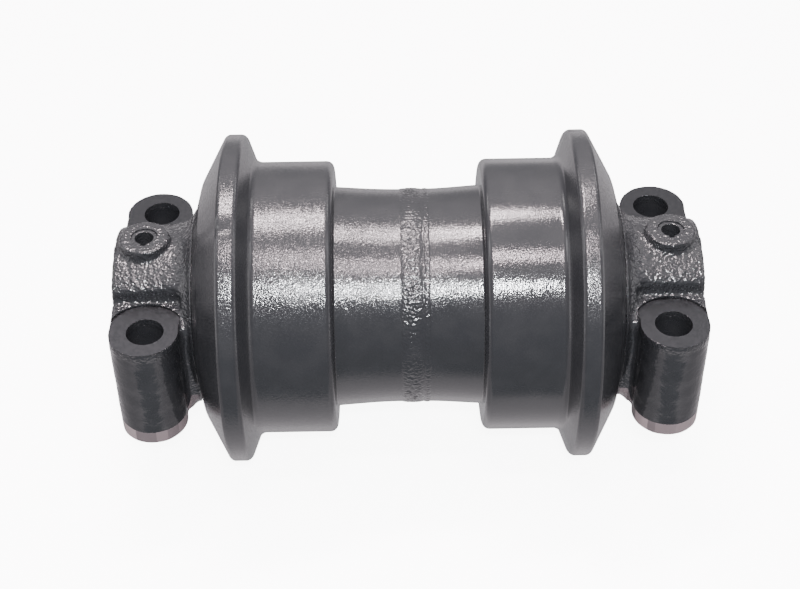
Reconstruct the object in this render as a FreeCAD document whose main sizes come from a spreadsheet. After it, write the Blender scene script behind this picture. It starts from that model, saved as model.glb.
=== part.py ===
import FreeCAD, Part
import math
import os

import Sketcher

# Track roller of a crawler undercarriage.
#
# The shaft lies along X, the origin is on its axis at mid length, and +Z is up.
# The roller lies with the frame side of its collars down: a double-flanged shell,
# welded from two halves, turns on a fixed shaft, and a cast collar at each end
# holds the shaft and carries the bolt holes. All sizes are in millimetres.

DRIVING_SIZES = {
    # shell: half the gap between the treads, then widths from there outwards
    "tread_start": 44.0,
    "tread_width": 47.0,
    "flank_width": 6.5,
    "rim_width": 10.7,
    "cone_width": 14.1,
    "lip_width": 4.3,
    # shell: the tread's radius, then steps from it
    "tread_radius": 83.0,
    "flange_height": 17.0,
    "cone_drop": 26.5,
    "lip_wall": 1.9,
    "hub_step": 15.8,
    "hub_hollow": 2.0,
    "weld_land": 15.0,
    # shell: rounded edges
    "rim_inner_round": 3.0,
    "rim_outer_round": 2.2,
    "flank_foot_round": 4.0,
    "tread_edge_round": 4.4,
    "hub_foot_round": 2.7,
    # weld between the shell halves
    "groove_half_width": 3.4,
    "groove_depth": 8.0,
    "bead_left_reach": 4.6,
    "bead_right_reach": 8.7,
    "bead_height": 0.8,
    "second_bead_width": 4.2,
    "second_bead_height": 0.5,
    "bead_edge": 1.2,
    # shaft and its drillings
    "shaft_radius": 32.5,
    "shaft_end_recess": 3.0,
    "shaft_chamfer": 2.0,
    "oil_drill_radius": 4.0,
    "oil_outlet_radius": 3.0,
    "oil_outlet_station": 15.0,
    "centre_drill_radius": 5.0,
    "centre_drill_depth": 8.0,
    # bushes
    "running_gap": 0.05,
    "bush_wall": 5.0,
    "bush_length": 65.0,
    "bush_flange_width": 4.0,
    "bush_flange_step": 8.5,
    "thrust_gap": 0.4,
    "reservoir_step": 2.5,
    # floating seals, outwards from the bush flange and inwards from the shell's end
    "seal_face_inset": 10.6,
    "seal_chamber_length": 19.0,
    "seal_ring_width": 9.5,
    "seal_ring_flange": 3.0,
    "seal_ring_wall": 3.6,
    "seal_ring_lip": 1.0,
    "seal_bore_gap": 1.5,
    "cord_offset": 6.2,
    "cord_radius": 2.9,
    "seal_slope": 0.176,
    "seat_reach": 5.0,
    "seal_floor_gap": 0.8,
    # collars, outwards from the shell's end
    "collar_face_gap": 0.6,
    "collar_length": 48.3,
    "flare_width": 3.8,
    "flare_foot_width": 5.0,
    "neck_wall": 5.5,
    "nose_wall": 4.5,
    "nose_tip_gap": 1.5,
    "labyrinth_gap": 1.2,
    "collar_disc_step": 2.5,
    "barrel_wall": 11.5,
    "barrel_draft": 1.3,
    "flare_step": 3.3,
    "barrel_end_round": 3.0,
    # bolt lugs; their place along the shaft is from the collar's face
    "bolt_offset": 26.8,
    "bolt_half_spacing": 55.0,
    "bolt_hole_radius": 11.0,
    "lug_outward_shift": 1.0,
    "lug_top_radius": 20.5,
    "lug_foot_radius": 20.0,
    "lug_top_height": 23.0,
    "lug_foot_depth": 49.0,
    "lug_foot_round": 2.5,
    "spot_face_radius": 23.0,
    "spot_face_depth": 1.3,
    "bridge_inset": 0.5,
    "head_room_inset": 24.5,
    "web_offset": 1.2,
    "web_length": 44.0,
    "web_inset": 5.0,
    "web_top_drop": 8.0,
    "web_foot_rise": 9.0,
    # lock pins and their bosses
    "pin_offset": 29.8,
    "boss_radius": 15.0,
    "boss_rise": 5.0,
    "boss_round": 2.5,
    "pin_radius": 8.0,
    "pin_wall": 2.5,
    "pin_slot": 3.5,
    "pin_top_gap": 1.0,
    "pin_depth": 23.0,
    "pin_chamfer": 0.8,
    # shaft o-rings
    "o_ring_offset": 14.8,
    "o_ring_cord_radius": 1.35,
    "o_ring_groove_width": 3.6,
    # oil plug
    "plug_thread_radius": 6.6,
    "plug_thread_length": 12.0,
    "plug_thread_depth": 16.0,
    "plug_head_radius": 9.0,
    "plug_head_height": 3.0,
    "plug_head_gap": 1.0,
    "plug_washer_height": 1.2,
    "plug_socket_flats": 7.0,
    "plug_socket_depth": 6.0,
}

doc = FreeCAD.newDocument("track_roller")
sheet = doc.addObject("Spreadsheet::Sheet", "Sizes")
for row, (alias, number) in enumerate(DRIVING_SIZES.items(), start=1):
    sheet.set(f"A{row}", alias)
    sheet.set(f"B{row}", str(number))
    sheet.setAlias(f"B{row}", alias)
doc.recompute()


class Size:
    """A length, as an expression on the sheet and as its present value."""

    def __init__(self, text, value):
        self.text = text
        self.value = value

    def joined(self, sign, other, value):
        return Size(f"({self.text} {sign} {other.text})", value)

    def __add__(self, other):
        other = as_size(other)
        return self.joined("+", other, self.value + other.value)

    def __sub__(self, other):
        other = as_size(other)
        return self.joined("-", other, self.value - other.value)

    def __mul__(self, other):
        other = as_size(other)
        return self.joined("*", other, self.value * other.value)

    def __truediv__(self, other):
        other = as_size(other)
        return self.joined("/", other, self.value / other.value)

    def __neg__(self):
        return Size(f"(0 - {self.text})", -self.value)


def as_size(number):
    """A plain number as a Size; a Size stays as it is."""
    if isinstance(number, Size):
        return number
    return Size(str(number), float(number))


def size(alias):
    """The driving size of that name."""
    return Size(f"Sizes.{alias}", float(sheet.get(alias)))


def root(length):
    """Square root of a plain ratio."""
    return Size(f"sqrt({length.text})", math.sqrt(length.value))


def bind(thing, **sizes):
    """Bind properties of an object to expressions; a double underscore is a dot."""
    for name, length in sizes.items():
        thing.setExpression(name.replace("__", "."), as_size(length).text)


def origin_feature(body, role):
    """The body's own origin plane or axis of that role."""
    return next(item for item in body.Origin.OriginFeatures if item.Role == role)


def new_body(label):
    body = doc.addObject("PartDesign::Body", label)
    body.Label = label
    return body


def new_sketch(body, name, plane):
    sketch = body.newObject("Sketcher::SketchObject", name)
    sketch.AttachmentSupport = [(origin_feature(body, plane), "")]
    sketch.MapMode = "FlatFace"
    return sketch


def fix_point(sketch, name, geometry, end, across, along):
    """Hold one point of a sketch at its two distances from the origin."""
    for kind, length in (("DistanceX", across), ("DistanceY", along)):
        constraint = Sketcher.Constraint(kind, -1, 1, geometry, end, length.value)
        index = sketch.addConstraint(constraint)
        label = f"{name}_{kind[-1]}"
        sketch.renameConstraint(index, label)
        sketch.setExpression(f"Constraints.{label}", length.text)


def outline(body, name, plane, corners):
    """Closed outline of straight sides through the named corners."""
    sketch = new_sketch(body, name, plane)
    points = []
    for across, along in corners:
        points.append((as_size(across), as_size(along)))
    count = len(points)
    for index in range(count):
        start = points[index]
        finish = points[(index + 1) % count]
        sketch.addGeometry(Part.LineSegment(
            FreeCAD.Vector(start[0].value, start[1].value, 0),
            FreeCAD.Vector(finish[0].value, finish[1].value, 0)))
    for index in range(count):
        sketch.addConstraint(Sketcher.Constraint("Coincident", index, 2, (index + 1) % count, 1))
    for index, (across, along) in enumerate(points):
        fix_point(sketch, f"corner{index}", index, 1, across, along)
    return sketch


def turned(body, kind, name, sketch):
    """Revolve a sketch a full turn about X, adding (Revolution) or cutting (Groove)."""
    before = body.Shape.Volume if kind == "Groove" else 0.0
    feature = body.newObject(f"PartDesign::{kind}", name)
    feature.Profile = sketch
    feature.ReferenceAxis = (origin_feature(body, "X_Axis"), [""])
    feature.Angle = 360.0
    doc.recompute()
    if kind == "Groove" and not feature.Shape.Volume < before - 1.0:
        raise RuntimeError(f"{name} cuts nothing")
    return feature


def primitive(body, kind, name, **sizes):
    """An additive or subtractive primitive whose sizes are bound to the sheet."""
    feature = body.newObject(f"PartDesign::{kind}", name)
    bind(feature, **sizes)
    return feature


def round_edges(body, name, base, edges, radius):
    """Fillet the listed edges of a feature."""
    if not edges:
        raise RuntimeError(f"{name} has no edge to round")
    feature = body.newObject("PartDesign::Fillet", name)
    feature.Base = (base, edges)
    bind(feature, Radius=radius)
    doc.recompute()
    return feature


def circle_edges(feature, axis, station, radius):
    """Full circles of that radius about a line along the axis, at that station."""
    names = []
    for index, edge in enumerate(feature.Shape.Edges, start=1):
        curve = edge.Curve
        if not isinstance(curve, Part.Circle):
            continue
        level = getattr(curve.Center, axis)
        if abs(level - station.value) < 0.001 and abs(curve.Radius - radius.value) < 0.001:
            names.append(f"Edge{index}")
    return names


def mirrored(source, label):
    """The same piece at the other end of the shaft."""
    copy = doc.addObject("Part::Mirroring", label)
    copy.Label = label
    copy.Source = source
    copy.Base = FreeCAD.Vector(0, 0, 0)
    copy.Normal = FreeCAD.Vector(1, 0, 0)
    return copy


# places along the shaft that several pieces share

flank_foot_station = size("tread_start") + size("tread_width")
rim_inner_station = flank_foot_station + size("flank_width")
rim_outer_station = rim_inner_station + size("rim_width")
cone_end_station = rim_outer_station + size("cone_width")
shell_end_station = cone_end_station + size("lip_width")
seal_face_station = shell_end_station - size("seal_face_inset")
bush_end_station = seal_face_station - size("seal_chamber_length")
bush_flange_station = bush_end_station - size("bush_flange_width")
bush_inner_station = bush_flange_station - size("bush_length")
collar_face_station = shell_end_station + size("collar_face_gap")
collar_end_station = collar_face_station + size("collar_length")
bolt_station = collar_face_station + size("bolt_offset")
lug_station = bolt_station + size("lug_outward_shift")
pin_station = collar_face_station + size("pin_offset")
o_ring_station = collar_face_station + size("o_ring_offset")
shaft_end_station = collar_end_station - size("shaft_end_recess")

# radii and heights that several pieces share

flange_radius = size("tread_radius") + size("flange_height")
hub_end_radius = size("tread_radius") - size("hub_step")
hub_middle_radius = hub_end_radius - size("hub_hollow")
bush_bore_radius = size("shaft_radius") + size("running_gap")
bush_outer_radius = bush_bore_radius + size("bush_wall")
bush_flange_radius = bush_outer_radius + size("bush_flange_step")
neck_radius = size("shaft_radius") + size("neck_wall")
seal_bore_radius = neck_radius + size("seal_bore_gap")
ramp_radius = seal_bore_radius + size("seal_ring_wall")
cord_slant = size("cord_radius") * root(size("seal_slope") * size("seal_slope") + 1)
cord_pitch_radius = ramp_radius + cord_slant
seat_radius = cord_pitch_radius + cord_slant
seat_rise = size("seal_slope") * size("seat_reach")
nose_radius = seat_radius + seat_rise + size("nose_wall")
shell_mouth_radius = nose_radius + size("labyrinth_gap")
collar_disc_radius = nose_radius + size("collar_disc_step")
barrel_end_radius = size("shaft_radius") + size("barrel_wall")
barrel_start_radius = barrel_end_radius + size("barrel_draft")
boss_height = barrel_end_radius + size("boss_rise")
pin_foot_height = size("shaft_radius") - size("pin_depth")
land_height = size("lug_top_height") + size("spot_face_depth")


def build_roller_half():
    """Right half of the shell: hub, tread, flange, bush seat and seal housing."""
    body = new_body("roller_half_right")
    shell_cord_station = seal_face_station - size("cord_offset")
    seat_end_station = shell_cord_station + size("seat_reach")
    corners = [
        (0, bush_outer_radius + size("reservoir_step")),
        (0, hub_middle_radius - size("groove_depth")),
        (size("groove_half_width"), hub_middle_radius),
        (size("weld_land"), hub_middle_radius),
        (size("tread_start"), hub_end_radius),
        (size("tread_start"), size("tread_radius")),
        (flank_foot_station, size("tread_radius")),
        (rim_inner_station, flange_radius),
        (rim_outer_station, flange_radius),
        (cone_end_station, flange_radius - size("cone_drop")),
        (shell_end_station, shell_mouth_radius + size("lip_wall")),
        (shell_end_station, shell_mouth_radius),
        (seat_end_station, shell_mouth_radius),
        (seat_end_station, seat_radius + seat_rise),
        (shell_cord_station - size("seat_reach"), seat_radius - seat_rise),
        (bush_end_station, seat_radius - seat_rise),
        (bush_end_station, bush_flange_radius),
        (bush_flange_station, bush_flange_radius),
        (bush_flange_station, bush_outer_radius),
        (bush_inner_station, bush_outer_radius),
        (bush_inner_station, bush_outer_radius + size("reservoir_step")),
    ]
    sketch = outline(body, "shell_section", "XZ_Plane", corners)
    hollow_hub(sketch)
    shell = turned(body, "Revolution", "shell_turning", sketch)
    rounds = [
        ("rim_inner", rim_inner_station, flange_radius),
        ("rim_outer", rim_outer_station, flange_radius),
        ("flank_foot", flank_foot_station, size("tread_radius")),
        ("tread_edge", size("tread_start"), size("tread_radius")),
        ("hub_foot", size("tread_start"), hub_end_radius),
    ]
    for name, station, radius in rounds:
        edges = circle_edges(shell, "x", station, radius)
        shell = round_edges(body, f"{name}_fillet", shell, edges, size(f"{name}_round"))
    return body


def hollow_hub(sketch):
    """Swap the hub's slanted side for a long arc that leaves the weld land tangentially."""
    land = 2
    side = 3
    face = 4
    reach = size("tread_start").value - size("weld_land").value
    rise = hub_end_radius.value - hub_middle_radius.value
    radius = (reach ** 2 + rise ** 2) / (2 * rise)
    centre = FreeCAD.Vector(size("weld_land").value, hub_middle_radius.value + radius, 0)
    turn = math.asin(reach / radius)
    sketch.toggleConstruction(side)
    circle = Part.Circle(centre, FreeCAD.Vector(0, 0, 1), radius)
    arc = sketch.addGeometry(Part.ArcOfCircle(circle, -math.pi / 2, -math.pi / 2 + turn))
    sketch.addConstraint(Sketcher.Constraint("Tangent", arc, 1, land, 2))
    sketch.addConstraint(Sketcher.Constraint("Coincident", arc, 2, face, 1))


def build_centre_weld():
    """Ring of weld metal: the filled groove, a wide bead and a narrow one beside it."""
    body = new_body("centre_weld")
    hub = hub_middle_radius
    edge = size("bead_edge")
    bead_top = hub + size("bead_height")
    valley = hub + size("second_bead_height") / 2
    second_top = hub + size("second_bead_height")
    bead_right = size("bead_right_reach")
    second_right = bead_right + size("second_bead_width")
    corners = [
        (0, hub - size("groove_depth")),
        (size("groove_half_width"), hub),
        (second_right, hub),
        (second_right - edge, second_top),
        (bead_right + edge / 2, second_top),
        (bead_right, valley),
        (bead_right - edge, bead_top),
        (edge - size("bead_left_reach"), bead_top),
        (-size("bead_left_reach"), hub),
        (-size("groove_half_width"), hub),
    ]
    sketch = outline(body, "weld_section", "XZ_Plane", corners)
    turned(body, "Revolution", "weld_turning", sketch)
    return body


def build_bush():
    """Flanged plain bush, pressed into its half of the shell."""
    body = new_body("bush_right")
    corners = [
        (bush_inner_station, bush_bore_radius),
        (bush_inner_station, bush_outer_radius),
        (bush_flange_station, bush_outer_radius),
        (bush_flange_station, bush_flange_radius),
        (bush_end_station, bush_flange_radius),
        (bush_end_station, bush_bore_radius),
    ]
    sketch = outline(body, "bush_section", "XZ_Plane", corners)
    turned(body, "Revolution", "bush_turning", sketch)
    return body


def build_seal_ring(label, side):
    """Metal ring of a floating seal; side is -1 towards the shell, +1 towards the collar."""
    body = new_body(label)
    face = seal_face_station
    slope = size("seal_slope")

    def station(offset):
        return face + offset * side

    def ramp(offset):
        return ramp_radius - slope * (offset - size("cord_offset"))

    flange_end = size("seal_ring_flange")
    lip_start = size("seal_ring_width") - size("seal_ring_lip")
    corners = [
        (face, seal_bore_radius),
        (face, cord_pitch_radius),
        (station(flange_end), cord_pitch_radius),
        (station(flange_end), ramp(flange_end)),
        (station(lip_start), ramp(lip_start)),
        (station(lip_start), ramp_radius),
        (station(size("seal_ring_width")), ramp_radius),
        (station(size("seal_ring_width")), seal_bore_radius),
    ]
    sketch = outline(body, f"{label}_section", "XZ_Plane", corners)
    turned(body, "Revolution", f"{label}_turning", sketch)
    return body


def build_torus(label, station, pitch_radius, cord_radius):
    """Rubber ring of round section about the shaft axis."""
    ring = doc.addObject("Part::Torus", label)
    ring.Label = label
    bind(ring, Radius1=pitch_radius, Radius2=cord_radius, Placement__Base__x=station)
    ring.Placement.Rotation = FreeCAD.Rotation(FreeCAD.Vector(0, 1, 0), 90)
    return ring


def build_collar():
    """Right collar: a cast barrel with two bolt lugs, a pin boss and the seal housing."""
    body = new_body("collar_right")
    corners = [
        (bush_end_station + size("thrust_gap"), 0),
        (bush_end_station + size("thrust_gap"), neck_radius),
        (seal_face_station + size("nose_tip_gap"), neck_radius),
        (seal_face_station + size("nose_tip_gap"), nose_radius),
        (collar_face_station, nose_radius),
        (collar_face_station, collar_disc_radius),
        (collar_face_station + size("flare_width"), barrel_start_radius + size("flare_step")),
        (collar_face_station + size("flare_width") + size("flare_foot_width"), barrel_start_radius),
        (collar_end_station, barrel_end_radius),
        (collar_end_station, 0),
    ]
    blank = turned(body, "Revolution", "collar_casting", outline(body, "casting_section", "XZ_Plane", corners))
    edges = circle_edges(blank, "x", collar_end_station, barrel_end_radius)
    round_edges(body, "barrel_end_fillet", blank, edges, size("barrel_end_round"))
    web_half_width = size("bolt_half_spacing") - size("web_inset")
    web_foot = size("web_foot_rise") - size("lug_foot_depth")
    primitive(
        body, "AdditiveBox", "web",
        Length=size("web_length"),
        Width=web_half_width * 2,
        Height=size("lug_top_height") - size("web_top_drop") - web_foot,
        Placement__Base__x=collar_face_station + size("web_offset"),
        Placement__Base__y=-web_half_width,
        Placement__Base__z=web_foot)
    bridge_length = collar_end_station - size("bridge_inset") - lug_station
    primitive(
        body, "AdditiveBox", "lug_bridge",
        Length=bridge_length + size("lug_foot_radius"),
        Width=size("bolt_half_spacing") * 2,
        Height=land_height + size("spot_face_depth") - web_foot,
        Placement__Base__x=lug_station - size("lug_foot_radius"),
        Placement__Base__y=-size("bolt_half_spacing"),
        Placement__Base__z=web_foot)
    for place, across in lug_places():
        primitive(
            body, "AdditiveCone", f"{place}_lug",
            Radius1=size("lug_foot_radius"),
            Radius2=size("lug_top_radius"),
            Height=size("lug_foot_depth") + land_height + size("spot_face_depth"),
            Placement__Base__x=lug_station,
            Placement__Base__y=across,
            Placement__Base__z=-size("lug_foot_depth"))
    doc.recompute()
    feature = body.Tip
    edges = circle_edges(feature, "z", -size("lug_foot_depth"), size("lug_foot_radius"))
    round_edges(body, "lug_foot_fillet", feature, edges, size("lug_foot_round"))
    head_room_reach = size("bolt_half_spacing") - size("head_room_inset")
    head_room_width = size("head_room_inset") + size("lug_top_radius") + 1
    for place, near in (("front", -head_room_reach - head_room_width), ("rear", head_room_reach)):
        primitive(
            body, "SubtractiveBox", f"{place}_head_room",
            Length=collar_end_station - lug_station + size("lug_top_radius") + 2,
            Width=head_room_width,
            Height=boss_height,
            Placement__Base__x=lug_station - size("lug_top_radius") - 1,
            Placement__Base__y=near,
            Placement__Base__z=land_height)
    boss = primitive(
        body, "AdditiveCylinder", "pin_boss",
        Radius=size("boss_radius"),
        Height=boss_height,
        Placement__Base__x=pin_station)
    doc.recompute()
    edges = circle_edges(boss, "z", boss_height, size("boss_radius"))
    round_edges(body, "boss_fillet", boss, edges, size("boss_round"))
    bore_collar(body)
    return body


def lug_places():
    """The two lugs of a collar and their places across the shaft."""
    return (("front", -size("bolt_half_spacing")), ("rear", size("bolt_half_spacing")))


def bore_collar(body):
    """Machine the collar: shaft bore with its ring groove, seal recess, bolt holes, pin hole."""
    cord_station = seal_face_station + size("cord_offset")
    floor_station = seal_face_station + size("seal_ring_width") + size("seal_floor_gap")
    nose_tip = seal_face_station + size("nose_tip_gap")
    seat_start = cord_station - nose_tip
    seat_end = floor_station - cord_station
    recess = outline(body, "seal_recess_section", "XZ_Plane", [
        (nose_tip, neck_radius),
        (nose_tip, seat_radius + size("seal_slope") * seat_start),
        (floor_station, seat_radius - size("seal_slope") * seat_end),
        (floor_station, neck_radius),
    ])
    turned(body, "Groove", "seal_recess", recess)
    half_groove = size("o_ring_groove_width") / 2
    groove_radius = size("shaft_radius") + size("o_ring_cord_radius") * 2
    bore = outline(body, "bore_section", "XZ_Plane", [
        (bush_end_station, 0),
        (bush_end_station, size("shaft_radius")),
        (o_ring_station - half_groove, size("shaft_radius")),
        (o_ring_station - half_groove, groove_radius),
        (o_ring_station + half_groove, groove_radius),
        (o_ring_station + half_groove, size("shaft_radius")),
        (collar_end_station + 1, size("shaft_radius")),
        (collar_end_station + 1, 0),
    ])
    turned(body, "Groove", "shaft_bore", bore)
    for place, across in lug_places():
        primitive(
            body, "SubtractiveCylinder", f"{place}_spot_face",
            Radius=size("spot_face_radius"),
            Height=boss_height,
            Placement__Base__x=bolt_station,
            Placement__Base__y=across,
            Placement__Base__z=size("lug_top_height"))
        primitive(
            body, "SubtractiveCylinder", f"{place}_bolt_hole",
            Radius=size("bolt_hole_radius"),
            Height=size("lug_foot_depth") + size("lug_top_height") + 2,
            Placement__Base__x=bolt_station,
            Placement__Base__y=across,
            Placement__Base__z=-size("lug_foot_depth") - 1)
    primitive(
        body, "SubtractiveCylinder", "pin_hole",
        Radius=size("pin_radius"),
        Height=boss_height + 1,
        Placement__Base__x=pin_station)
    doc.recompute()


def build_lock_pin():
    """Slotted spring pin that locks the collar to the shaft."""
    body = new_body("lock_pin_right")
    top = boss_height - size("pin_top_gap")
    foot = pin_foot_height
    bore = size("pin_radius") - size("pin_wall")
    chamfer = size("pin_chamfer")
    sketch = outline(body, "pin_section", "XZ_Plane", [
        (bore, foot),
        (size("pin_radius") - chamfer, foot),
        (size("pin_radius"), foot + chamfer),
        (size("pin_radius"), top - chamfer),
        (size("pin_radius") - chamfer, top),
        (bore, top),
    ])
    pin = body.newObject("PartDesign::Revolution", "pin_turning")
    pin.Profile = sketch
    pin.ReferenceAxis = (origin_feature(body, "Z_Axis"), [""])
    pin.Angle = 360.0
    doc.recompute()
    primitive(
        body, "SubtractiveBox", "pin_slot",
        Length=size("pin_slot"),
        Width=size("pin_radius") + 1,
        Height=top - foot + 2,
        Placement__Base__x=-size("pin_slot") / 2,
        Placement__Base__y=-size("pin_radius") - 1,
        Placement__Base__z=foot - 1)
    bind(body, Placement__Base__x=pin_station)
    doc.recompute()
    return body


def build_shaft():
    """Fixed shaft with its oil drillings, plug seat, pin holes and centre drilling."""
    body = new_body("shaft")
    radius = size("shaft_radius")
    chamfer = size("shaft_chamfer")
    end = shaft_end_station
    blank = outline(body, "shaft_section", "XZ_Plane", [
        (-end, 0),
        (-end, radius - chamfer),
        (chamfer - end, radius),
        (end - chamfer, radius),
        (end, radius - chamfer),
        (end, 0),
    ])
    turned(body, "Revolution", "shaft_turning", blank)
    seat = end - size("plug_head_height") - size("plug_washer_height") - size("plug_head_gap")
    drilling = outline(body, "drilling_section", "XZ_Plane", [
        (size("oil_outlet_station") - size("oil_outlet_radius"), 0),
        (size("oil_outlet_station") - size("oil_outlet_radius"), size("oil_drill_radius")),
        (seat - size("plug_thread_depth"), size("oil_drill_radius")),
        (seat - size("plug_thread_depth"), size("plug_thread_radius")),
        (seat, size("plug_thread_radius")),
        (seat, size("plug_head_radius") + size("plug_head_gap")),
        (end + 1, size("plug_head_radius") + size("plug_head_gap")),
        (end + 1, 0),
    ])
    turned(body, "Groove", "oil_drilling", drilling)
    centre = outline(body, "centre_drill_section", "XZ_Plane", [
        (size("centre_drill_depth") - end, 0),
        (-end, size("centre_drill_radius")),
        (-end, 0),
    ])
    turned(body, "Groove", "centre_drilling", centre)
    primitive(
        body, "SubtractiveCylinder", "oil_outlet",
        Radius=size("oil_outlet_radius"),
        Height=radius + 1,
        Placement__Base__x=size("oil_outlet_station"))
    for place, station in (("left", -pin_station), ("right", pin_station)):
        primitive(
            body, "SubtractiveCylinder", f"{place}_pin_hole",
            Radius=size("pin_radius"),
            Height=radius,
            Placement__Base__x=station,
            Placement__Base__z=pin_foot_height)
    doc.recompute()
    return body


def build_oil_plug():
    """Oil plug with a hexagon socket, screwed into the right end of the shaft."""
    head_top = shaft_end_station - size("plug_head_gap")
    head_foot = head_top - size("plug_head_height")
    body = new_body("oil_plug")
    sketch = outline(body, "plug_section", "XZ_Plane", [
        (head_foot - size("plug_thread_length"), 0),
        (head_foot - size("plug_thread_length"), size("plug_thread_radius")),
        (head_foot, size("plug_thread_radius")),
        (head_foot, size("plug_head_radius")),
        (head_top, size("plug_head_radius")),
        (head_top, 0),
    ])
    turned(body, "Revolution", "plug_turning", sketch)
    socket = primitive(
        body, "SubtractivePrism", "plug_socket",
        Circumradius=size("plug_socket_flats") / root(as_size(3)),
        Height=size("plug_socket_depth"),
        Placement__Base__x=head_top - size("plug_socket_depth"))
    socket.Polygon = 6
    socket.Placement.Rotation = FreeCAD.Rotation(FreeCAD.Vector(0, 1, 0), 90)
    doc.recompute()
    return body


def build_plug_washer():
    """Sealing washer under the head of the oil plug."""
    body = new_body("plug_washer")
    top = shaft_end_station - size("plug_head_gap") - size("plug_head_height")
    foot = top - size("plug_washer_height")
    sketch = outline(body, "washer_section", "XZ_Plane", [
        (foot, size("plug_thread_radius")),
        (foot, size("plug_head_radius")),
        (top, size("plug_head_radius")),
        (top, size("plug_thread_radius")),
    ])
    turned(body, "Revolution", "washer_turning", sketch)
    return body


def build_all():
    """Every piece of the roller, with the paired pieces mirrored to the left end."""
    face = seal_face_station
    offset = size("cord_offset")
    cord = size("cord_radius")
    o_cord = size("o_ring_cord_radius")
    paired = [
        build_roller_half(),
        build_collar(),
        build_bush(),
        build_seal_ring("seal_ring_shell_right", -1),
        build_seal_ring("seal_ring_collar_right", 1),
        build_torus("toric_ring_shell_right", face - offset, cord_pitch_radius, cord),
        build_torus("toric_ring_collar_right", face + offset, cord_pitch_radius, cord),
        build_torus("shaft_o_ring_right", o_ring_station, size("shaft_radius") + o_cord, o_cord),
        build_lock_pin(),
    ]
    pieces = [build_centre_weld(), build_shaft(), build_oil_plug(), build_plug_washer()]
    for piece in paired:
        pieces.append(piece)
        pieces.append(mirrored(piece, piece.Label.replace("right", "left")))
    doc.recompute()
    return pieces


def check(pieces):
    """Stop at a failed object, or at a piece that isn't one valid solid."""
    for item in doc.Objects:
        if "Invalid" in item.State or "Error" in item.State:
            raise RuntimeError(f"{item.Label} failed: {item.State}")
    for piece in pieces:
        shape = piece.Shape
        if shape.isNull() or not shape.isValid() or len(shape.Solids) != 1:
            raise RuntimeError(f"{piece.Label} is not one valid solid")


def export(pieces):
    os.makedirs("parts", exist_ok=True)
    for piece in pieces:
        piece.Shape.exportStep(f"parts/{piece.Label}.step")
        print(f"{piece.Label}: {piece.Shape.Volume / 1000:.1f} cm3")


pieces = build_all()
check(pieces)
export(pieces)
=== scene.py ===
import math

import bmesh
import bpy
from mathutils import Matrix, Vector, noise


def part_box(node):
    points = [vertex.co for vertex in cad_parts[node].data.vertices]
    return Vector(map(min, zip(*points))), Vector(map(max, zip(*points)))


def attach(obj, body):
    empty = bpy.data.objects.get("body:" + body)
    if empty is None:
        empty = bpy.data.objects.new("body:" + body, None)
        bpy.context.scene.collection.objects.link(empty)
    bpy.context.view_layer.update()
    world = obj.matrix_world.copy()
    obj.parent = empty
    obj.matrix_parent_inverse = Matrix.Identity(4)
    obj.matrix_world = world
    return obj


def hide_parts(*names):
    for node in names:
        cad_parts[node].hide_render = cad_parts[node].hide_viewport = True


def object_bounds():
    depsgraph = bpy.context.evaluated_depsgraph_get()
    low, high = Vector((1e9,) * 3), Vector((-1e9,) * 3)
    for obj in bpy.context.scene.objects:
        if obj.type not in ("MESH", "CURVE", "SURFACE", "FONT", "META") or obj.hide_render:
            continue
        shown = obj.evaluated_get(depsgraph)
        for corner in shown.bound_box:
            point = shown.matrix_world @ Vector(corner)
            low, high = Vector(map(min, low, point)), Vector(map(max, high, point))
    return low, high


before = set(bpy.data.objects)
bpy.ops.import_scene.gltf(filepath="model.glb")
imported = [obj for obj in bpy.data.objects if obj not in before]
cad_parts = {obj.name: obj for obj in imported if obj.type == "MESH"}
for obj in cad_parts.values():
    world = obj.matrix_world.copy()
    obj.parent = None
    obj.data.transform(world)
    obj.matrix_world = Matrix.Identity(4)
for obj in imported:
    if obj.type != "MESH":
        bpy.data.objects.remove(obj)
cad_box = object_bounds()

# The roller shell is two forged steel halves, turned on a lathe and painted charcoal.
# Each has a hub, the tread that a rail runs on, one guide flange and a cone outside it;
# its bores hold the bush and one half of the floating seal.

mm = 0.001
full_turn = 2 * math.pi
hands = (("left", -1), ("right", 1))
shell_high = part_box("roller_half_right")[1]
flange_radius = shell_high.y
shell_end = shell_high.x
tread_start = 44.0 * mm
tread_end = 91.0 * mm
rim_start = 97.5 * mm
rim_end = 108.2 * mm
cone_end = 122.3 * mm
tread_radius = flange_radius - 17 * mm
hub_end_radius = tread_radius - 15.8 * mm
hub_middle_radius = hub_end_radius - 2 * mm
weld_root_radius = hub_middle_radius - 8 * mm
cone_end_radius = flange_radius - 26.5 * mm
weld_land = 15 * mm
bush_start = 28 * mm
bush_end = 93 * mm
bush_flange_end = 97 * mm
seal_seat_start = 104.8 * mm
seal_seat_end = 114.8 * mm
shell_mouth_radius = 55.6 * mm
seal_seat_radius = 49.0 * mm
seal_seat_rise = 0.88 * mm
bush_flange_radius = 46.05 * mm
bush_radius = 37.55 * mm
reservoir_radius = 40.05 * mm


def lathe_outline(corners):
    """A bmesh with a closed outline in the XZ plane; a corner is station, radius, rounding."""
    bm = bmesh.new()
    rounded = []
    for station, radius, rounding in corners:
        vertex = bm.verts.new((station, 0, radius))
        if rounding:
            rounded.append((vertex, rounding))
    bm.verts.ensure_lookup_table()
    for index, vertex in enumerate(bm.verts):
        bm.edges.new((bm.verts[index - 1], vertex))
    for vertex, rounding in rounded:
        bmesh.ops.bevel(bm, geom=[vertex], offset=rounding, offset_type="OFFSET", affect="VERTICES",
                        segments=6, profile=0.5, material=-1)
    return bm


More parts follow.
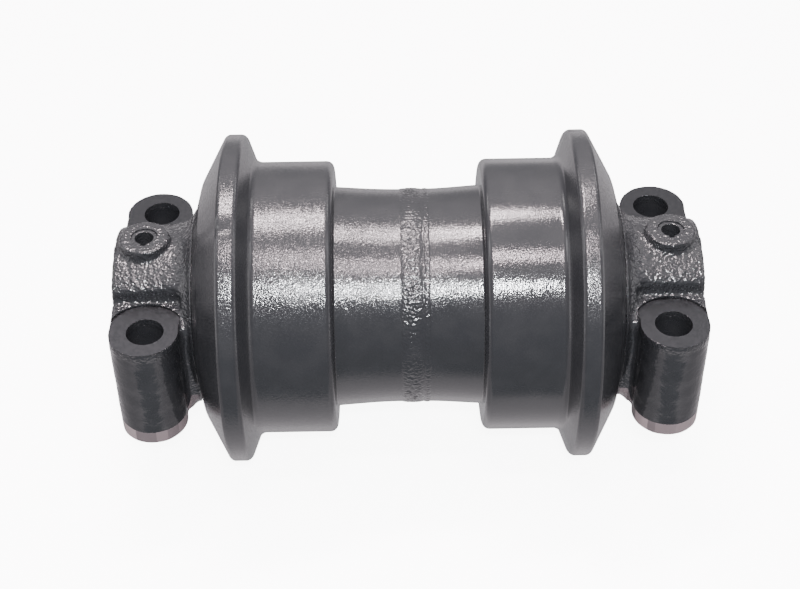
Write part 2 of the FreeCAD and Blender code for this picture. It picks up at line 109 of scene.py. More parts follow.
def turn_on_lathe(bm, steps, doublings=5):
    """Spin the outline through one sector, then double the sector until it closes the turn."""
    sector = full_turn / 2 ** doublings
    outline = bm.verts[:] + bm.edges[:]
    bmesh.ops.spin(bm, geom=outline, cent=(0, 0, 0), axis=(1, 0, 0), dvec=(0, 0, 0),
                   angle=sector, steps=steps // 2 ** doublings, use_merge=False)
    for doubling in range(doublings):
        copied = bmesh.ops.duplicate(bm, geom=bm.verts[:] + bm.edges[:] + bm.faces[:])
        verts = [item for item in copied["geom"] if isinstance(item, bmesh.types.BMVert)]
        turn = Matrix.Rotation(sector * 2 ** doubling, 3, "X")
        bmesh.ops.rotate(bm, cent=(0, 0, 0), matrix=turn, verts=verts)
    bmesh.ops.remove_doubles(bm, verts=bm.verts, dist=1e-6)
    bmesh.ops.recalc_face_normals(bm, faces=bm.faces)


def round_edges(bm, edges, rounding, segments=6):
    """Give edges a round of that radius."""
    bmesh.ops.bevel(bm, geom=edges, offset=rounding, offset_type="OFFSET", affect="EDGES",
                    segments=segments, profile=0.5, material=-1)


def loose_piece(name, bm):
    """A new object made from a bmesh, which is freed."""
    mesh = bpy.data.meshes.new(name)
    bm.to_mesh(mesh)
    bm.free()
    piece = bpy.data.objects.new(name, mesh)
    bpy.context.scene.collection.objects.link(piece)
    return piece


def finished(name, bm, crease=35):
    """The object of a bmesh, smooth except along edges sharper than the crease angle."""
    piece = loose_piece(name, bm)
    piece.data.shade_smooth()
    piece.data.set_sharp_from_angle(angle=math.radians(crease))
    return piece


def weigh_normals(piece):
    """Let broad turned faces keep their own direction beside small rounded edges."""
    modifier = piece.modifiers.new("broad_faces", "WEIGHTED_NORMAL")
    modifier.mode = "FACE_AREA"
    modifier.keep_sharp = True


def smoothstep(low, high, value):
    """Zero below low, one above high, and an even rise between."""
    share = min(max((value - low) / (high - low), 0), 1)
    return share * share * (3 - 2 * share)


class Wire:
    """A shader socket that takes part in arithmetic; each operation adds its node."""

    def __init__(self, tree, socket):
        self.tree = tree
        self.socket = socket

    def node(self, kind, settings=None, output=0, **sockets):
        """Add a node: settings first, then the values or links of its named sockets."""
        made = self.tree.nodes.new(kind)
        for name, value in (settings or {}).items():
            setattr(made, name, value)
        for name, value in sockets.items():
            key = int(name[1:]) if name[1:].isdigit() else name.replace("_", " ")
            if isinstance(value, Wire):
                self.tree.links.new(value.socket, made.inputs[key])
            else:
                made.inputs[key].default_value = value
        return Wire(self.tree, made.outputs[output])

    def maths(self, operation, *others):
        """One step of arithmetic on this wire and any further wires or numbers."""
        sockets = {f"i{index}": value for index, value in enumerate((self, *others))}
        return self.node("ShaderNodeMath", {"operation": operation}, **sockets)

    def size(self):
        """The value without its sign."""
        return self.maths("ABSOLUTE")

    def __add__(self, other):
        return self.maths("ADD", other)

    def __radd__(self, other):
        return self.maths("ADD", other)

    def __sub__(self, other):
        return self.maths("SUBTRACT", other)

    def __rsub__(self, other):
        return self.node("ShaderNodeMath", {"operation": "SUBTRACT"}, i0=other, i1=self)

    def __mul__(self, other):
        return self.maths("MULTIPLY", other)

    def __rmul__(self, other):
        return self.maths("MULTIPLY", other)

    def __pow__(self, other):
        return self.maths("POWER", other)

    def ramp(self, low, high, to_low=0.0, to_high=1.0):
        """Even, clamped step from to_low at low to to_high at high."""
        return self.node("ShaderNodeMapRange", {"interpolation_type": "SMOOTHSTEP"},
                         Value=self, From_Min=low, From_Max=high, To_Min=to_low, To_Max=to_high)

    def part(self, axis):
        """One component of a vector."""
        return self.node("ShaderNodeSeparateXYZ", output="XYZ".index(axis), Vector=self)

    def scaled(self, factors):
        """The vector with each component times its own factor."""
        return self.node("ShaderNodeVectorMath", {"operation": "MULTIPLY"}, i0=self, i1=factors)

    def grain(self, size, detail=3.0, roughness=0.5):
        """Noise whose lumps are about that size, in metres."""
        return self.node("ShaderNodeTexNoise", {"noise_dimensions": "3D"},
                         Vector=self, Scale=1 / size, Detail=detail, Roughness=roughness)

    def blend(self, first, second):
        """Two colours mixed by this mask."""
        return self.node("ShaderNodeMix", {"data_type": "RGBA"}, output=2, i0=self, i6=first, i7=second)

    def bump(self):
        """The surface direction that this height, in millimetres, gives."""
        return self.node("ShaderNodeBump", Height=self, Distance=1.0 * mm, Strength=1.0)


def new_material(name):
    """A new material, its Principled shader and a wire from the object's own coordinates."""
    material = bpy.data.materials.new(name)
    material.use_nodes = True
    tree = material.node_tree
    shader = tree.nodes["Principled BSDF"]
    coordinates = tree.nodes.new("ShaderNodeTexCoord")
    return material, shader, Wire(tree, coordinates.outputs["Object"])


def connect(shader, **sockets):
    """Set the shader's sockets: a number or colour directly, a wire as a link."""
    tree = shader.id_data
    for name, value in sockets.items():
        socket = shader.inputs[name.replace("_", " ")]
        if isinstance(value, Wire):
            tree.links.new(value.socket, socket)
        else:
            socket.default_value = value


def rgb(red, green, blue):
    """An opaque colour."""
    return (red, green, blue, 1.0)


charcoal_dark = rgb(0.0165, 0.0172, 0.0190)
charcoal_light = rgb(0.0205, 0.0211, 0.0228)
bare_chip = rgb(0.34, 0.25, 0.13)
chips = ((-103.5 * mm, -44, 4.6 * mm), (-101.5 * mm, -58, 1.6 * mm))


def charcoal_paint(name, peel, lathe_lines):
    """Glossy charcoal paint: a fine dry spray grain over faint turning lines, smoother to the right."""
    material, shader, place = new_material(name)
    lines = place.scaled((1.0, 0.2, 0.2)).grain(0.8 * mm, detail=2.0)
    coarse_peel = place.grain(2.6 * mm, detail=1.0)
    spray = place.grain(0.66 * mm, detail=0.0)
    gloss = place.grain(0.85 * mm, detail=0.0)
    mottle = place.grain(14 * mm, detail=4.0)
    patches = place.grain(22 * mm, detail=2.0)
    across = place.part("X")
    smooth_right = (across + (patches - 0.5) * (40 * mm)).ramp(-10 * mm, 75 * mm, 0.0, 0.5)
    coat = 1 - smooth_right * across.ramp(92 * mm, 96 * mm, 1.0, 0.0)
    height = lines * lathe_lines + (coarse_peel * 0.35 + spray) * coat * peel
    colour = mottle.ramp(0.35, 0.7).blend(charcoal_dark, charcoal_light)
    for station, angle, spread in chips:
        turn = math.radians(angle)
        centre = (station, -flange_radius * math.cos(turn), flange_radius * math.sin(turn))
        gap = place.node("ShaderNodeVectorMath", {"operation": "DISTANCE"}, output=1, i0=place, i1=centre)
        ragged = gap + (mottle - 0.5) * (4 * mm)
        colour = ragged.ramp(spread - 0.6 * mm, spread, 1.0, 0.0).blend(colour, bare_chip)
    connect(
        shader,
        Base_Color=colour,
        Metallic=0.0,
        Roughness=0.05 + gloss.ramp(0.43, 0.57, 0.0, 0.20) * coat,
        Normal=height.bump(),
        IOR=1.52,
    )
    return material


shell_paint = charcoal_paint("shell_paint", peel=0.095, lathe_lines=0.03)

shell_corners = [
    (0, reservoir_radius, 0),
    (0, weld_root_radius, 0),
    (3.4 * mm, hub_middle_radius, 0),
    (weld_land, hub_middle_radius, 10 * mm),
    (tread_start - 8 * mm, hub_end_radius - 0.55 * mm, 7 * mm),
    (tread_start, hub_end_radius, 2.7 * mm),
    (tread_start, tread_radius, 4.4 * mm),
    (tread_end, tread_radius, 3.4 * mm),
    (rim_start, flange_radius, 2.4 * mm),
    (rim_end, flange_radius, 1.7 * mm),
    (cone_end, cone_end_radius, 1.5 * mm),
    (shell_end, shell_mouth_radius + 1.9 * mm, 0.4 * mm),
    (shell_end, shell_mouth_radius, 0.4 * mm),
    (seal_seat_end, shell_mouth_radius, 1 * mm),
    (seal_seat_end, seal_seat_radius + seal_seat_rise, 0),
    (seal_seat_start, seal_seat_radius - seal_seat_rise, 0),
    (bush_flange_end, seal_seat_radius - seal_seat_rise, 0.8 * mm),
    (bush_flange_end, bush_flange_radius, 0),
    (bush_end, bush_flange_radius, 0),
    (bush_end, bush_radius, 0),
    (bush_start, bush_radius, 0),
    (bush_start, reservoir_radius, 0),
]
rim_nicks = {
    "left": ((rim_end - 0.5 * mm, 65, 6.5 * mm, 1.5 * mm), (rim_end - 5 * mm, 48, 3.2 * mm, 0.5 * mm)),
    "right": ((rim_start + 1.5 * mm, 118, 4 * mm, 0.7 * mm), (tread_start + 2 * mm, 262, 3 * mm, 0.5 * mm)),
}

for side, hand in hands:
    bm = lathe_outline(shell_corners)
    turn_on_lathe(bm, steps=288)
    for vertex in bm.verts:
        reach = math.hypot(vertex.co.y, vertex.co.z)
        if reach < hub_middle_radius:
            continue
        for station, angle, spread, depth in rim_nicks[side]:
            turn = math.radians(angle)
            centre = Vector((station, -reach * math.cos(turn), reach * math.sin(turn)))
            gap = (vertex.co - centre).length
            dent = depth * (1 - smoothstep(0, spread, gap))
            vertex.co *= Vector((1, 1 - dent / reach, 1 - dent / reach))
    if hand < 0:
        bmesh.ops.scale(bm, vec=(-1, 1, 1), verts=bm.verts)
        bmesh.ops.recalc_face_normals(bm, faces=bm.faces)
    half = finished(f"shell_half_{side}", bm)
    weigh_normals(half)
    half.data.materials.append(shell_paint)
    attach(half, "roller")
    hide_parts(f"roller_half_{side}")

# The centre weld joins the two halves: a wide weave bead a little right of the middle, with
# stacked crescent ripples, and one narrow straight bead beside it, painted over.

weld_low, weld_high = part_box("centre_weld")
bead_joint = 8.7 * mm
bead_edges = ((weld_low.x, bead_joint, 0.85 * mm), (bead_joint, weld_high.x, 0.55 * mm))
ripple_pitch = 2.6 * mm


def bead_height(station, sweep):
    """Rise of the weld over the hub at a station and an angle round the shaft."""
    place = Vector((station, hub_middle_radius * math.cos(sweep), hub_middle_radius * math.sin(sweep)))
    swirl = Vector((noise.noise(place * 260), noise.noise(place * 260 + Vector((7, 3, 1))), 0)) * (1.7 * mm)
    along = sweep * hub_middle_radius + swirl.y
    rise = 0
    for start, end, crown in bead_edges:
        middle = (start + end) / 2
        offset = (station + swirl.x * 0.35 - middle) / (end - start) * 2
        if abs(offset) >= 1:
            continue
        dome = (1 - offset * offset) ** 0.7
        phase = (along + 2.6 * mm * offset * offset) / ripple_pitch
        ripple = abs(math.sin(math.pi * phase)) - 0.6
        lumps = 1 - 2.6 * abs(noise.noise((place + swirl) * 430))
        rise = crown * dome * (0.64 + 0.18 * ripple + 0.32 * lumps)
    return max(rise, 0)


bm = bmesh.new()
columns = 44
root = bm.verts.new((0, 0, weld_root_radius))
crest = []
for column in range(columns + 1):
    station = weld_low.x + (weld_high.x - weld_low.x) * column / columns
    crest.append(bm.verts.new((station, 0, hub_middle_radius)))
for near, far in zip(crest, crest[1:]):
    bm.edges.new((near, far))
bm.edges.new((root, crest[0]))
bm.edges.new((crest[-1], root))
turn_on_lathe(bm, steps=896, doublings=6)
for vertex in bm.verts:
    reach = math.hypot(vertex.co.y, vertex.co.z)
    if reach > hub_middle_radius - 1 * mm:
        rise = bead_height(vertex.co.x, math.atan2(vertex.co.z, vertex.co.y))
        stretch = 1 + (rise - 0.05 * mm) / reach
        vertex.co *= Vector((1, stretch, stretch))
weld = finished("weld_bead", bm, crease=80)
weld.data.materials.append(charcoal_paint("weld_paint", peel=0.14, lathe_lines=0.0))
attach(weld, "roller")
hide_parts("centre_weld")

# A collar closes each end. It is one rough casting: a barrel round the shaft, a boss for the
# lock pin and two bolt lugs with webs, machined only on the lugs' faces and in the bores.

collar_end = 175.5 * mm
shaft_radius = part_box("shaft")[1].z
collar_face = 127.2 * mm
bolt_station = 154 * mm
bolt_reach = 55 * mm
bolt_hole_radius = 11 * mm
lug_station = 155 * mm
lug_foot = -49 * mm
lug_top = 23 * mm
land_height = 24.3 * mm
lug_radius_top = 20.5 * mm
lug_radius_foot = 20.0 * mm
head_room_reach = 30.5 * mm
web_foot = -40 * mm
web_root = 12 * mm
web_reach = 56 * mm
web_shoulder = 18 * mm
web_round = 63 * mm
low_web_root = 34 * mm
low_web_foot = web_foot - 5 * mm
low_web_end = lug_station - 14 * mm
low_web_top = web_foot + 4 * mm
valley_station = 129 * mm
valley_radius = 6.5 * mm
spot_face_radius = 23 * mm
pin_station = 157 * mm
pin_radius = 8 * mm
boss_top = 49 * mm
boss_radius = 15 * mm
barrel_start_radius = 45.3 * mm
barrel_end_radius = 44.0 * mm
casting_grid = 1.0 * mm


def add_drum(bm, radius_low, radius_high, low, high, at, segments=96):
    """A closed upright drum between two heights."""
    place = Matrix.Translation((at[0], at[1], (low + high) / 2))
    bmesh.ops.create_cone(bm, cap_ends=True, segments=segments, radius1=radius_low, radius2=radius_high,
                          depth=high - low, matrix=place)


def add_block(bm, low, high, rounding=0):
    """A closed block between two corners, with its upright edges rounded if asked."""
    low = Vector(low)
    high = Vector(high)
    place = Matrix.Translation((low + high) / 2) @ Matrix.Diagonal((*(high - low), 1))
    made = bmesh.ops.create_cube(bm, size=1, matrix=place)
    if rounding:
        upright = [edge for edge in {edge for vertex in made["verts"] for edge in vertex.link_edges}
                   if abs(edge.verts[0].co.z - edge.verts[1].co.z) > 1e-6]
        upright.sort(key=lambda edge: (edge.verts[0].co.x, edge.verts[0].co.y))
        round_edges(bm, upright, rounding)


def modified(piece, kind, **settings):
    """Put one modifier on a piece and apply it."""
    modifier = piece.modifiers.new(kind.lower(), kind)
    for name, value in settings.items():
        setattr(modifier, name, value)
    bpy.context.view_layer.update()
    graph = bpy.context.evaluated_depsgraph_get()
    mesh = bpy.data.meshes.new_from_object(piece.evaluated_get(graph))
    piece.modifiers.clear()
    old = piece.data
    piece.data = mesh
    bpy.data.meshes.remove(old)


def cut_away(piece, cutter_bm):
    """Take a closed shape out of a piece."""
    cutter = loose_piece("cutter", cutter_bm)
    modified(piece, "BOOLEAN", operation="DIFFERENCE", solver="EXACT", object=cutter)
    bpy.data.objects.remove(cutter)


def ridge(bm, aside, height):
    """The edges along the shaft at one reach to the side and one height."""
    return [edge for edge in bm.edges if all(
        abs(vertex.co.y - aside) < 1e-6 and abs(vertex.co.z - height) < 1e-6 for vertex in edge.verts)]


def add_web(bm, hand, root, foot, end, top):
    """The web between a lug and the shell: a block with a hollow front, kept inside a flaring round."""
    web = bmesh.new()
    inner, outer = sorted((hand * root, hand * web_reach))
    add_block(web, (collar_face - 4 * mm, inner, foot), (end, outer, top))
    if top == lug_top:
        round_edges(web, ridge(web, hand * web_reach, top), web_shoulder)
    piece = loose_piece("web", web)
    valley = bmesh.new()
    add_drum(valley, valley_radius, valley_radius, -80 * mm, 60 * mm, (valley_station, hand * web_reach))
    cut_away(piece, valley)
    outside = lathe_outline([
        (110 * mm, web_round, 0),
        (129.5 * mm, web_round, 0),
        (136 * mm, web_round + 10 * mm, 0),
        (136 * mm, 140 * mm, 0),
        (110 * mm, 140 * mm, 0),
    ])
    turn_on_lathe(outside, steps=160)
    cut_away(piece, outside)
    bm.from_mesh(piece.data)
    bpy.data.objects.remove(piece)


def collar_casting():
    """The raw casting: overlapping closed shapes, merged on a fine grid and softened."""
    bm = lathe_outline([
        (collar_face - 4 * mm, 20 * mm, 0),
        (collar_face - 4 * mm, 56.4 * mm, 0),
        (collar_face + 0.8 * mm, 56.0 * mm, 0),
        (130.0 * mm, 51.2 * mm, 0),
        (133.5 * mm, 47.9 * mm, 0),
        (138.0 * mm, barrel_start_radius + 1.0 * mm, 0),
        (145.0 * mm, barrel_start_radius + 0.2 * mm, 0),
        (collar_end, barrel_end_radius + 0.2 * mm, 1.5 * mm),
        (collar_end, 20 * mm, 0),
    ])
    turn_on_lathe(bm, steps=160)
    barrel = loose_piece("barrel", bm)
    head_room = bmesh.new()
    for hand in (-1, 1):
        near, far = sorted((hand * head_room_reach, hand * 90 * mm))
        add_block(head_room, (134 * mm, near, land_height), (200 * mm, far, 90 * mm), rounding=6 * mm)
        round_edges(head_room, ridge(head_room, hand * head_room_reach, land_height), 5 * mm, segments=5)
    cut_away(barrel, head_room)
    bm = bmesh.new()
    bm.from_mesh(barrel.data)
    bpy.data.objects.remove(barrel)
    for hand in (-1, 1):
        lug = (lug_station, hand * bolt_reach)
        add_drum(bm, lug_radius_foot, lug_radius_top, lug_foot - 6 * mm, land_height, lug)
        add_web(bm, hand, web_root, web_foot, lug_station, lug_top)
        add_web(bm, hand, low_web_root, low_web_foot, low_web_end, low_web_top)
        inner, outer = sorted((hand * web_root, hand * bolt_reach))
        add_block(bm, (lug_station - 20 * mm, inner, web_foot), (collar_end - 0.4 * mm, outer, land_height))
    add_drum(bm, boss_radius + 0.8 * mm, boss_radius, 30 * mm, boss_top + 0.3 * mm, (pin_station, 0))
    casting = loose_piece("casting", bm)
    modified(casting, "REMESH", mode="VOXEL", voxel_size=casting_grid)
    modified(casting, "SMOOTH", factor=0.5, iterations=14)
    return casting


def roughen(casting):
    """Push the skin in and out by the lumps that a sand mould leaves; the lugs are smoother."""
    mesh = casting.data
    moved = []
    for vertex in mesh.vertices:
        place = vertex.co
        lug = math.hypot(place.x - lug_station, abs(place.y) - bolt_reach) / lug_radius_top
        coarse = 0.15 + 0.85 * smoothstep(1.02, 1.3, lug) * smoothstep(127 * mm, 131 * mm, place.x)
        swell = noise.noise(place * 140) * 0.22 * mm
        lumps = (noise.noise(place * 430) * 0.36 + noise.noise(place * 760) * 0.34) * mm * coarse
        rough = place + vertex.normal * (swell + lumps)
        rough.x = min(rough.x, collar_end)
        moved.append(rough)
    for vertex, place in zip(mesh.vertices, moved):
        vertex.co = place
    mesh.update()


def machine(casting):
    """Cut the machined faces and bores; each cutter reaches well past the casting."""
    foot = bmesh.new()
    add_block(foot, (100 * mm, -90 * mm, lug_foot - 20 * mm), (200 * mm, 90 * mm, lug_foot))
    face = bmesh.new()
    add_block(face, (90 * mm, -91 * mm, -91 * mm), (collar_face, 91 * mm, 91 * mm))
    spot_faces = bmesh.new()
    holes = bmesh.new()
    for hand in (-1, 1):
        lug = (bolt_station, hand * bolt_reach)
        add_drum(spot_faces, spot_face_radius, spot_face_radius, lug_top, lug_top + 30 * mm, lug,
                 segments=160)
        add_drum(holes, bolt_hole_radius, bolt_hole_radius, lug_foot - 9 * mm, lug_top + 9 * mm, lug)
    add_drum(holes, pin_radius, pin_radius, 20 * mm, 70 * mm, (pin_station, 0))
    bore = lathe_outline([(90 * mm, 0.1 * mm, 0), (90 * mm, shaft_radius, 0), (200 * mm, shaft_radius, 0),
                          (200 * mm, 0.1 * mm, 0)])
    turn_on_lathe(bore, steps=160)
    for cutter_bm in (foot, face, spot_faces, holes, bore):
        cut_away(casting, cutter_bm)


right_collar = collar_casting()
roughen(right_collar)
machine(right_collar)


machined_face = rgb(0.044, 0.046, 0.049)
# The two tones of the pale pinkish band painted on the lowest part of the lugs and webs.
foot_band_dark = rgb(0.125, 0.100, 0.104)
foot_band_light = rgb(0.30, 0.235, 0.24)


def casting_paint():
    """Charcoal paint over pitted cast iron; the spot faces are machined, and a pale pinkish band in two
    tones is painted on the lowest part of the lugs and webs.
    """
    material, shader, place = new_material("collar_paint")
    skin = place.grain(1.6 * mm, detail=0.0)
    pits = place.grain(0.85 * mm, detail=0.0)
    gloss = place.grain(0.9 * mm, detail=0.0)
    mottle = place.grain(9 * mm, detail=4.0)
    height_above = place.part("Z")
    across = place.part("X")
    aside = place.part("Y")
    face_gap = (height_above - lug_top) * (height_above - lug_top)
    machined = face_gap.ramp((0.1 * mm) ** 2, (0.3 * mm) ** 2, 1.0, 0.0)
    outward = across.size()
    # The pale band is painted below a line that runs from the feet of the lugs up towards the shell, and it
    # is fainter on the webs beside the shell.
    foot_line = outward.ramp(132 * mm, 134.5 * mm, -34 * mm, -40.5 * mm)
    below_line = (height_above - foot_line).ramp(-0.2 * mm, 0.2 * mm, 1.0, 0.0)
    foot = below_line * outward.ramp(132 * mm, 134.5 * mm, 0.4, 1.0)
    from_axis = outward - bolt_station
    from_bolt = aside.size() - bolt_reach
    reach = (from_axis * from_axis + from_bolt * from_bolt) ** 0.5
    tool_marks = (reach * (full_turn / (0.9 * mm))).maths("SINE")
    upright = place.scaled((1, 1, 0))
    flats = upright.node("ShaderNodeTexVoronoi", output=1, Vector=upright, Scale=1 / (13 * mm))
    smooth = 1 - (1 - machined) * (1 - foot)
    lug_side = reach.ramp(21.5 * mm, 24 * mm, 0.86, 0.0) * height_above.ramp(16 * mm, 20 * mm, 1.0, 0.0)
    calm = 1 - (1 - smooth * 0.93) * (1 - lug_side)
    height = (skin * 0.5 + pits * 0.16) * (1 - calm) + tool_marks * machined * 0.006
    paint = mottle.ramp(0.35, 0.7).blend(charcoal_dark, charcoal_light)
    # The pale band's two tones fall in random upright facets.
    foot_band = flats.part("X").ramp(0.35, 0.85).blend(foot_band_dark, foot_band_light)
    colour = foot.blend(machined.blend(paint, machined_face), foot_band)
    connect(
        shader,
        Base_Color=colour,
        Metallic=machined,
        Roughness=0.06 + gloss.ramp(0.43, 0.57, 0.0, 0.14) + smooth * 0.25,
        Normal=height.bump(),
        IOR=1.52,
    )
    return material


collar_paint = casting_paint()
for side, hand in hands:
    bm = bmesh.new()
    bm.from_mesh(right_collar.data)
    bmesh.ops.triangulate(bm, faces=[face for face in bm.faces if len(face.verts) > 4])
    bmesh.ops.remove_doubles(bm, verts=bm.verts, dist=0.03 * mm)
    bmesh.ops.dissolve_degenerate(bm, edges=bm.edges, dist=0.03 * mm)
    bmesh.ops.scale(bm, vec=(hand, 1, 1), verts=bm.verts)
    bmesh.ops.recalc_face_normals(bm, faces=bm.faces)
    collar = finished(f"cast_collar_{side}", bm, crease=40)
    collar.data.materials.append(collar_paint)
    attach(collar, "axle")
    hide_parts(f"collar_{side}")
bpy.data.objects.remove(right_collar)

# A slotted spring pin locks each collar to the shaft. It is rolled from spring steel, so it
# has one open slot, which faces the front, and it is painted over with the collar.

pin_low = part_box("lock_pin_right")[0]
pin_top = boss_top - 0.3 * mm
pin_bore = pin_radius - 2.5 * mm
pin_slot = 4.2 * mm

for side, hand in hands:
    bm = lathe_outline([
        (pin_bore, pin_low.z, 0),
        (pin_radius, pin_low.z, 0.8 * mm),
        (pin_radius, pin_top, 0.45 * mm),
        (pin_bore, pin_top, 0.4 * mm),
    ])
    slot_angle = 2 * math.asin(pin_slot / 2 / pin_radius)
    start = Matrix.Rotation(-math.pi / 2 + slot_angle / 2, 4, "Z")
    bmesh.ops.transform(bm, matrix=start, verts=bm.verts)
    first = bm.edges[:]
    spun = bmesh.ops.spin(bm, geom=bm.verts[:] + bm.edges[:], cent=(0, 0, 0), axis=(0, 0, 1), dvec=(0, 0, 0),
                          angle=full_turn - slot_angle, steps=56, use_merge=False)
    last = [item for item in spun["geom_last"] if isinstance(item, bmesh.types.BMEdge)]
    bmesh.ops.contextual_create(bm, geom=first)
    bmesh.ops.contextual_create(bm, geom=last)
    bmesh.ops.recalc_face_normals(bm, faces=bm.faces)
    bmesh.ops.translate(bm, vec=(hand * pin_station, 0, 0), verts=bm.verts)
    pin = finished(f"spring_pin_{side}", bm)
    pin.data.materials.append(collar_paint)
    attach(pin, "axle")
    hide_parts(f"lock_pin_{side}")

# Shaft, plug and the running parts inside keep their CAD shapes and get their finishes here:
# ground steel, zinc, copper, bearing bronze, lapped iron and black rubber.


def plain_metal(name, colour, roughness, scratch):
    """Bare metal with fine tool marks and a little colour variation."""
    material, shader, place = new_material(name)
    marks = place.scaled((1.0, 0.2, 0.2)).grain(0.4 * mm, detail=2.0)
    stain = place.grain(12 * mm, detail=4.0)
    darker = tuple(channel * 0.72 for channel in colour[:3]) + (1.0,)
    connect(
        shader,
        Base_Color=stain.ramp(0.3, 0.7).blend(darker, colour),
        Metallic=1.0,
        Roughness=marks.ramp(0.3, 0.7, roughness * 0.8, roughness * 1.2),
        Normal=(marks * scratch).bump(),
    )
    return material


def black_rubber(name):
    """Moulded nitrile rubber, slightly dusty."""
    material, shader, place = new_material(name)
    dust = place.grain(3 * mm, detail=5.0)
    pores = place.grain(0.3 * mm, detail=2.0)
    connect(
        shader,
        Base_Color=dust.ramp(0.4, 0.8).blend(rgb(0.012, 0.012, 0.012), rgb(0.035, 0.034, 0.033)),
        Roughness=dust.ramp(0.3, 0.7, 0.45, 0.62),
        Normal=(pores * 0.03).bump(),
    )
    return material


finishes = {
    "shaft": plain_metal("shaft_steel", rgb(0.46, 0.46, 0.47), 0.28, 0.02),
    "oil_plug": plain_metal("plug_zinc", rgb(0.5, 0.5, 0.49), 0.34, 0.01),
    "plug_washer": plain_metal("washer_copper", rgb(0.72, 0.4, 0.28), 0.36, 0.01),
}
bronze = plain_metal("bush_bronze", rgb(0.62, 0.42, 0.22), 0.32, 0.02)
lapped_iron = plain_metal("seal_iron", rgb(0.3, 0.3, 0.31), 0.2, 0.005)
seal_rubber = black_rubber("seal_rubber")
for side in ("left", "right"):
    finishes[f"bush_{side}"] = bronze
    finishes[f"seal_ring_shell_{side}"] = lapped_iron
    finishes[f"seal_ring_collar_{side}"] = lapped_iron
    finishes[f"toric_ring_shell_{side}"] = seal_rubber
    finishes[f"toric_ring_collar_{side}"] = seal_rubber
    finishes[f"shaft_o_ring_{side}"] = seal_rubber
for node, material in finishes.items():
    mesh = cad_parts[node].data
    mesh.materials.clear()
    mesh.materials.append(material)

# Setting: a pale floor under the flanges, three narrow soft lights over and in front of the
# roller, four dim broad ones at its sides and rear corners, a pale surround that its gloss
# mirrors, and a camera with a long lens that looks down from the front.

floor_bm = bmesh.new()
bmesh.ops.create_grid(floor_bm, x_segments=1, y_segments=1, size=3)
bmesh.ops.translate(floor_bm, vec=(0, 0, cad_box[0][2]), verts=floor_bm.verts)
floor = finished("floor", floor_bm)
floor_material, floor_shader, _ = new_material("pale_floor")
connect(floor_shader, Base_Color=rgb(0.9, 0.895, 0.89), Roughness=0.8, Emission_Color=rgb(1, 1, 1),
        Emission_Strength=8.0)
floor.data.materials.append(floor_material)
floor.visible_glossy = False
floor.visible_diffuse = False


def soft_light(name, elevation, distance, size, power, colour, aside=0.0, swing=0.0):
    """A rectangular light that faces the roller: elevation from the front horizon, then a swing."""
    lamp = bpy.data.lights.new(name, "AREA")
    lamp.shape = "RECTANGLE"
    lamp.size = size[0]
    lamp.size_y = size[1]
    lamp.energy = power
    lamp.color = colour
    light = bpy.data.objects.new(name, lamp)
    bpy.context.scene.collection.objects.link(light)
    angle = math.radians(elevation)
    place = Vector((aside, -distance * math.cos(angle), distance * math.sin(angle)))
    place.rotate(Matrix.Rotation(math.radians(swing), 3, "Z"))
    light.location = place
    light.visible_camera = False
    light.rotation_euler = place.to_track_quat("Z", "X").to_euler()


soft_light("overhead_light", 106.5, 1.6, (0.13, 0.66), 34, (1.0, 0.86, 0.885), aside=-0.13)
soft_light("upper_light", 71.5, 1.6, (0.10, 0.40), 14, (1.0, 0.84, 0.88))
soft_light("camera_light", 46.8, 1.5, (0.085, 0.20), 36, (0.95, 0.96, 1.0), aside=0.03)
for side, hand in hands:
    soft_light(f"{side}_light", 42, 1.7, (0.5, 0.5), 3, (1.0, 0.98, 1.0), swing=hand * 90)
    soft_light(f"{side}_rear_light", 36, 1.7, (0.4, 0.4), 2, (1.0, 0.97, 0.97), swing=hand * 135)

world = bpy.data.worlds.new("studio")
bpy.context.scene.world = world
world.use_nodes = True
sky_tree = world.node_tree
sky_place = sky_tree.nodes.new("ShaderNodeTexCoord")
direction = Wire(sky_tree, sky_place.outputs["Generated"])


def facing(towards):
    """How squarely the sky is looked at along a direction, from -1 to 1."""
    return direction.node("ShaderNodeVectorMath", {"operation": "DOT_PRODUCT"}, output=1,
                          i0=direction, i1=towards)


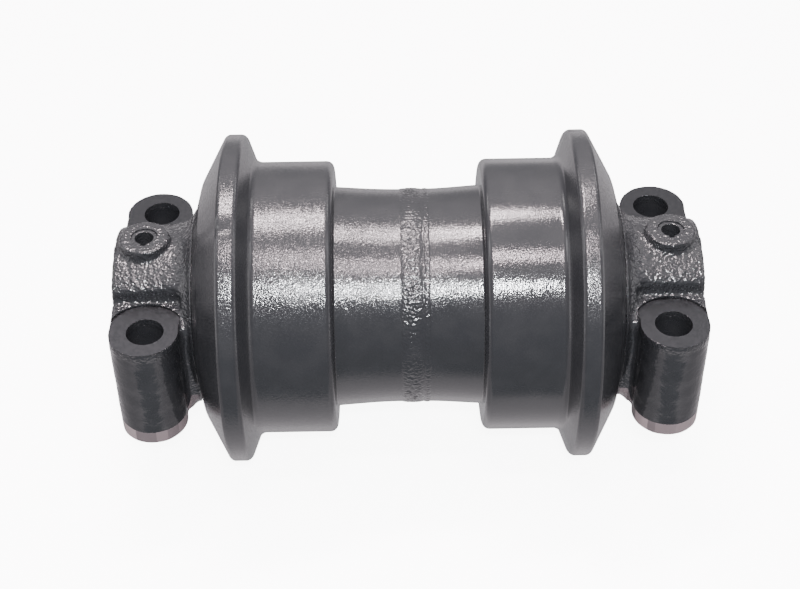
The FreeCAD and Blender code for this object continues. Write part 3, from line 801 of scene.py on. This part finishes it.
dome = facing((0, 0.2, 0.98)).ramp(0.3, 1.05)
below = facing((0, 0, -1)).ramp(0.0, 0.2)
front = facing((0, -0.978, -0.208)).ramp(0.68, 0.80)
sideways = facing((1, 0, 0)).size()
sides = sideways.ramp(0.25, 0.7, 0.0, 0.5)
overhead = dome.blend(rgb(0.55, 0.54, 0.56), rgb(2.0, 1.9, 1.95))
pale = below.blend(overhead, rgb(1.35, 1.27, 1.33))
behind = facing((0, 0.75, -0.66)).ramp(0.86, 0.97)
fronted = front.blend(pale, rgb(0.48, 0.5, 0.54))
backed = behind.blend(fronted, rgb(0.62, 0.6, 0.63))
sided = sides.blend(backed, rgb(0.12, 0.11, 0.12))
glow = sideways.ramp(0.85, 0.97) * facing((0, 0, 1)).ramp(-0.35, -0.15)
seen = direction.node("ShaderNodeLightPath")
mirrored = glow.blend(sided, rgb(2.2, 2.15, 2.2))
sky = seen.blend(mirrored, rgb(8, 8, 8))
sky_tree.links.new(sky.socket, sky_tree.nodes["Background"].inputs["Color"])

camera_pitch = math.radians(41.5)
camera_yaw = math.radians(0.28)
camera_roll = math.radians(-0.715)
camera_distance = 1.0428
camera_shift = (4.97 * mm, 0.28 * mm)
lens_ratio = 1695 / 800
sensor_width = 36

level_right = Vector((math.cos(camera_yaw), -math.sin(camera_yaw), 0))
level_ahead = Vector((math.sin(camera_yaw), math.cos(camera_yaw), 0))
ahead = level_ahead * math.cos(camera_pitch) - Vector((0, 0, math.sin(camera_pitch)))
level_up = level_ahead * math.sin(camera_pitch) + Vector((0, 0, math.cos(camera_pitch)))
right = level_right * math.cos(camera_roll) + level_up * math.sin(camera_roll)
up = level_up * math.cos(camera_roll) - level_right * math.sin(camera_roll)

camera_data = bpy.data.cameras.new("camera")
camera_data.sensor_width = sensor_width
camera_data.lens = sensor_width * lens_ratio
camera = bpy.data.objects.new("camera", camera_data)
bpy.context.scene.collection.objects.link(camera)
turn = Matrix((right, up, -ahead)).transposed().to_4x4()
place = up * camera_shift[1] - right * camera_shift[0] - ahead * camera_distance
camera.matrix_world = Matrix.Translation(place) @ turn
bpy.context.scene.camera = camera
